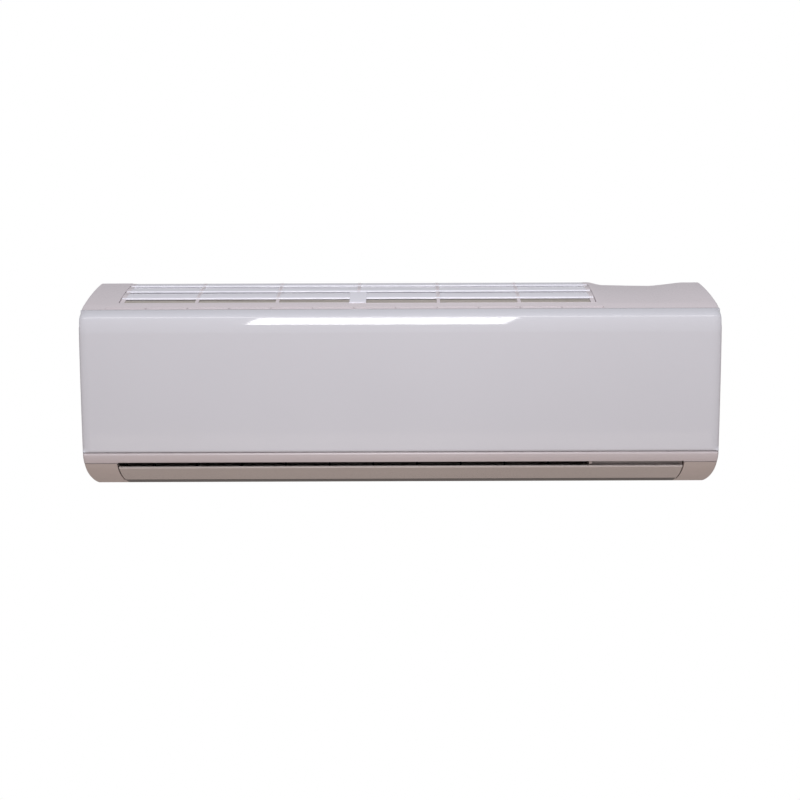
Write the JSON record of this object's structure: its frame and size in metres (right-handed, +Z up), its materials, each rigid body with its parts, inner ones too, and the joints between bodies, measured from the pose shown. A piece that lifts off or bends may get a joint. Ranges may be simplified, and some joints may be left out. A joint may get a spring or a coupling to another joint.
{
  "type": "wall air conditioner indoor unit",
  "caption": "Wall-mounted split air conditioner indoor unit with a hinged front panel, slatted top intake, cross-flow fan behind a folded coil, and a tilting outlet louver.",
  "frame": {"origin": "centre of the mounting plate's back, on the wall", "axes": "+X to the right of someone facing the unit, +Y into the wall, +Z up"},
  "size_m": [0.79, 0.195, 0.255],
  "materials": {
    "panel_white": "gloss",
    "casing_white": "satin",
    "grille_white": "semi-gloss",
    "louver_beige": "satin",
    "dark_plastic": "satin",
    "duct_grey": "satin",
    "filter_net": "matt net in a frame",
    "fin_aluminium": "fine fins",
    "steel": "zinc plated",
    "copper": "copper tube",
    "brass": "turned",
    "rubber": "matt",
    "board_green": "lacquered board",
    "foam_grey": "matt"
  },
  "bodies": {
    "housing": {"rear_chassis": "casing_white", "front_casing": "casing_white", "intake_grille": "grille_white", "evaporator_front_lower": "fin_aluminium", "evaporator_front_upper": "fin_aluminium", "evaporator_rear": "fin_aluminium", "drain_pan": "foam_grey", "drain_plug": "rubber", "drain_hose": "foam_grey", "fan_bearing": "rubber", "bearing_holder": "casing_white", "fan_motor": "foam_grey", "motor_rubber_left": "rubber", "motor_rubber_right": "rubber", "motor_cover": "casing_white", "louver_motor": "steel", "gas_pipe": "copper", "liquid_pipe": "copper", "gas_nut": "brass", "liquid_nut": "brass", "pipe_clamp": "casing_white", "control_box": "duct_grey", "control_box_lid": "steel", "control_board": "board_green", "transformer": "dark_plastic", "capacitor": "dark_plastic", "terminal_block": "dark_plastic", "cord_grip": "dark_plastic", "display_board": "board_green", "coil_sensor": "copper", "mounting_plate": "steel", "cover_screw_1": "steel", "cover_screw_2": "steel", "lid_screw_1": "steel", "lid_screw_2": "steel", "holder_screw_1": "steel", "holder_screw_2": "steel"},
    "panel": {"front_panel": "panel_white"},
    "filter_left": {"filter_left": "filter_net"},
    "filter_right": {"filter_right": "filter_net"},
    "fan": {"cross_flow_fan": "dark_plastic", "fan_axle": "steel", "motor_shaft": "steel"},
    "louver": {"louver": "louver_beige", "louver_shaft": "brass"},
    "link_left": {"link_bar_left": "duct_grey"},
    "link_right": {"link_bar_right": "duct_grey"},
    "button": {"emergency_button": "casing_white"},
    "vane_01": {"vane_01": "duct_grey"},
    "vane_02": {"vane_02": "duct_grey"},
    "vane_03": {"vane_03": "duct_grey"},
    "vane_04": {"vane_04": "duct_grey"},
    "vane_05": {"vane_05": "duct_grey"},
    "vane_06": {"vane_06": "duct_grey"},
    "vane_07": {"vane_07": "duct_grey"},
    "vane_08": {"vane_08": "duct_grey"},
    "vane_09": {"vane_09": "duct_grey"},
    "vane_10": {"vane_10": "duct_grey"}
  },
  "joints": [
    {"name": "panel_lift", "type": "hinge", "parent": "housing", "child": "panel", "pos_m": [0, -0.177, 0.091], "axis": [-1, 0, 0], "range_deg": [0, 60]},
    {"name": "filter_left_lift", "type": "hinge", "parent": "housing", "child": "filter_left", "pos_m": [-0.2033, -0.088, 0], "axis": [-1, 0, 0], "range_deg": [0, 4]},
    {"name": "filter_right_lift", "type": "hinge", "parent": "housing", "child": "filter_right", "pos_m": [0.0893, -0.088, 0], "axis": [-1, 0, 0], "range_deg": [0, 4]},
    {"name": "fan_spin", "type": "hinge", "parent": "housing", "child": "fan", "pos_m": [0, -0.08, -0.015], "axis": [1, 0, 0], "continuous": true},
    {"name": "louver_tilt", "type": "hinge", "parent": "housing", "child": "louver", "pos_m": [0, -0.115, -0.106], "axis": [1, 0, 0], "range_deg": [0, 80]},
    {"name": "vane_01_swing", "type": "hinge", "parent": "housing", "child": "vane_01", "pos_m": [-0.318, -0.06344, -0.09725], "axis": [0, -0.7203, 0.6936], "range_deg": [-40, 40]},
    {"name": "vane_02_swing", "type": "hinge", "parent": "housing", "child": "vane_02", "pos_m": [-0.2615, -0.06344, -0.09725], "axis": [0, -0.7203, 0.6936], "range_deg": [-40, 40]},
    {"name": "vane_03_swing", "type": "hinge", "parent": "housing", "child": "vane_03", "pos_m": [-0.205, -0.06344, -0.09725], "axis": [0, -0.7203, 0.6936], "range_deg": [-40, 40]},
    {"name": "vane_04_swing", "type": "hinge", "parent": "housing", "child": "vane_04", "pos_m": [-0.1485, -0.06344, -0.09725], "axis": [0, -0.7203, 0.6936], "range_deg": [-40, 40]},
    {"name": "vane_05_swing", "type": "hinge", "parent": "housing", "child": "vane_05", "pos_m": [-0.092, -0.06344, -0.09725], "axis": [0, -0.7203, 0.6936], "range_deg": [-40, 40]},
    {"name": "vane_06_swing", "type": "hinge", "parent": "housing", "child": "vane_06", "pos_m": [-0.0355, -0.06344, -0.09725], "axis": [0, -0.7203, 0.6936], "range_deg": [-40, 40]},
    {"name": "vane_07_swing", "type": "hinge", "parent": "housing", "child": "vane_07", "pos_m": [0.021, -0.06344, -0.09725], "axis": [0, -0.7203, 0.6936], "range_deg": [-40, 40]},
    {"name": "vane_08_swing", "type": "hinge", "parent": "housing", "child": "vane_08", "pos_m": [0.0775, -0.06344, -0.09725], "axis": [0, -0.7203, 0.6936], "range_deg": [-40, 40]},
    {"name": "vane_09_swing", "type": "hinge", "parent": "housing", "child": "vane_09", "pos_m": [0.134, -0.06344, -0.09725], "axis": [0, -0.7203, 0.6936], "range_deg": [-40, 40]},
    {"name": "vane_10_swing", "type": "hinge", "parent": "housing", "child": "vane_10", "pos_m": [0.1905, -0.06344, -0.09725], "axis": [0, -0.7203, 0.6936], "range_deg": [-40, 40]},
    {"name": "link_left_turn", "type": "hinge", "parent": "vane_01", "child": "link_left", "pos_m": [-0.318, -0.09169, -0.07699], "axis": [0, -0.7203, 0.6936], "range_deg": [-40, 40]},
    {"name": "link_right_turn", "type": "hinge", "parent": "vane_06", "child": "link_right", "pos_m": [-0.0355, -0.09169, -0.07699], "axis": [0, -0.7203, 0.6936], "range_deg": [-40, 40]},
    {"name": "emergency_press", "type": "slide", "parent": "housing", "child": "button", "axis": [0, 1, 0], "range_m": [0, 0.0015], "stiffness_N_per_m": 300}
  ],
  "couplings": [
    {"joint": "vane_02_swing", "follows": "vane_01_swing", "ratio": 1},
    {"joint": "vane_03_swing", "follows": "vane_01_swing", "ratio": 1},
    {"joint": "vane_04_swing", "follows": "vane_01_swing", "ratio": 1},
    {"joint": "vane_05_swing", "follows": "vane_01_swing", "ratio": 1},
    {"joint": "vane_07_swing", "follows": "vane_06_swing", "ratio": 1},
    {"joint": "vane_08_swing", "follows": "vane_06_swing", "ratio": 1},
    {"joint": "vane_09_swing", "follows": "vane_06_swing", "ratio": 1},
    {"joint": "vane_10_swing", "follows": "vane_06_swing", "ratio": 1},
    {"joint": "link_left_turn", "follows": "vane_01_swing", "ratio": -1},
    {"joint": "link_right_turn", "follows": "vane_06_swing", "ratio": -1}
  ]
}
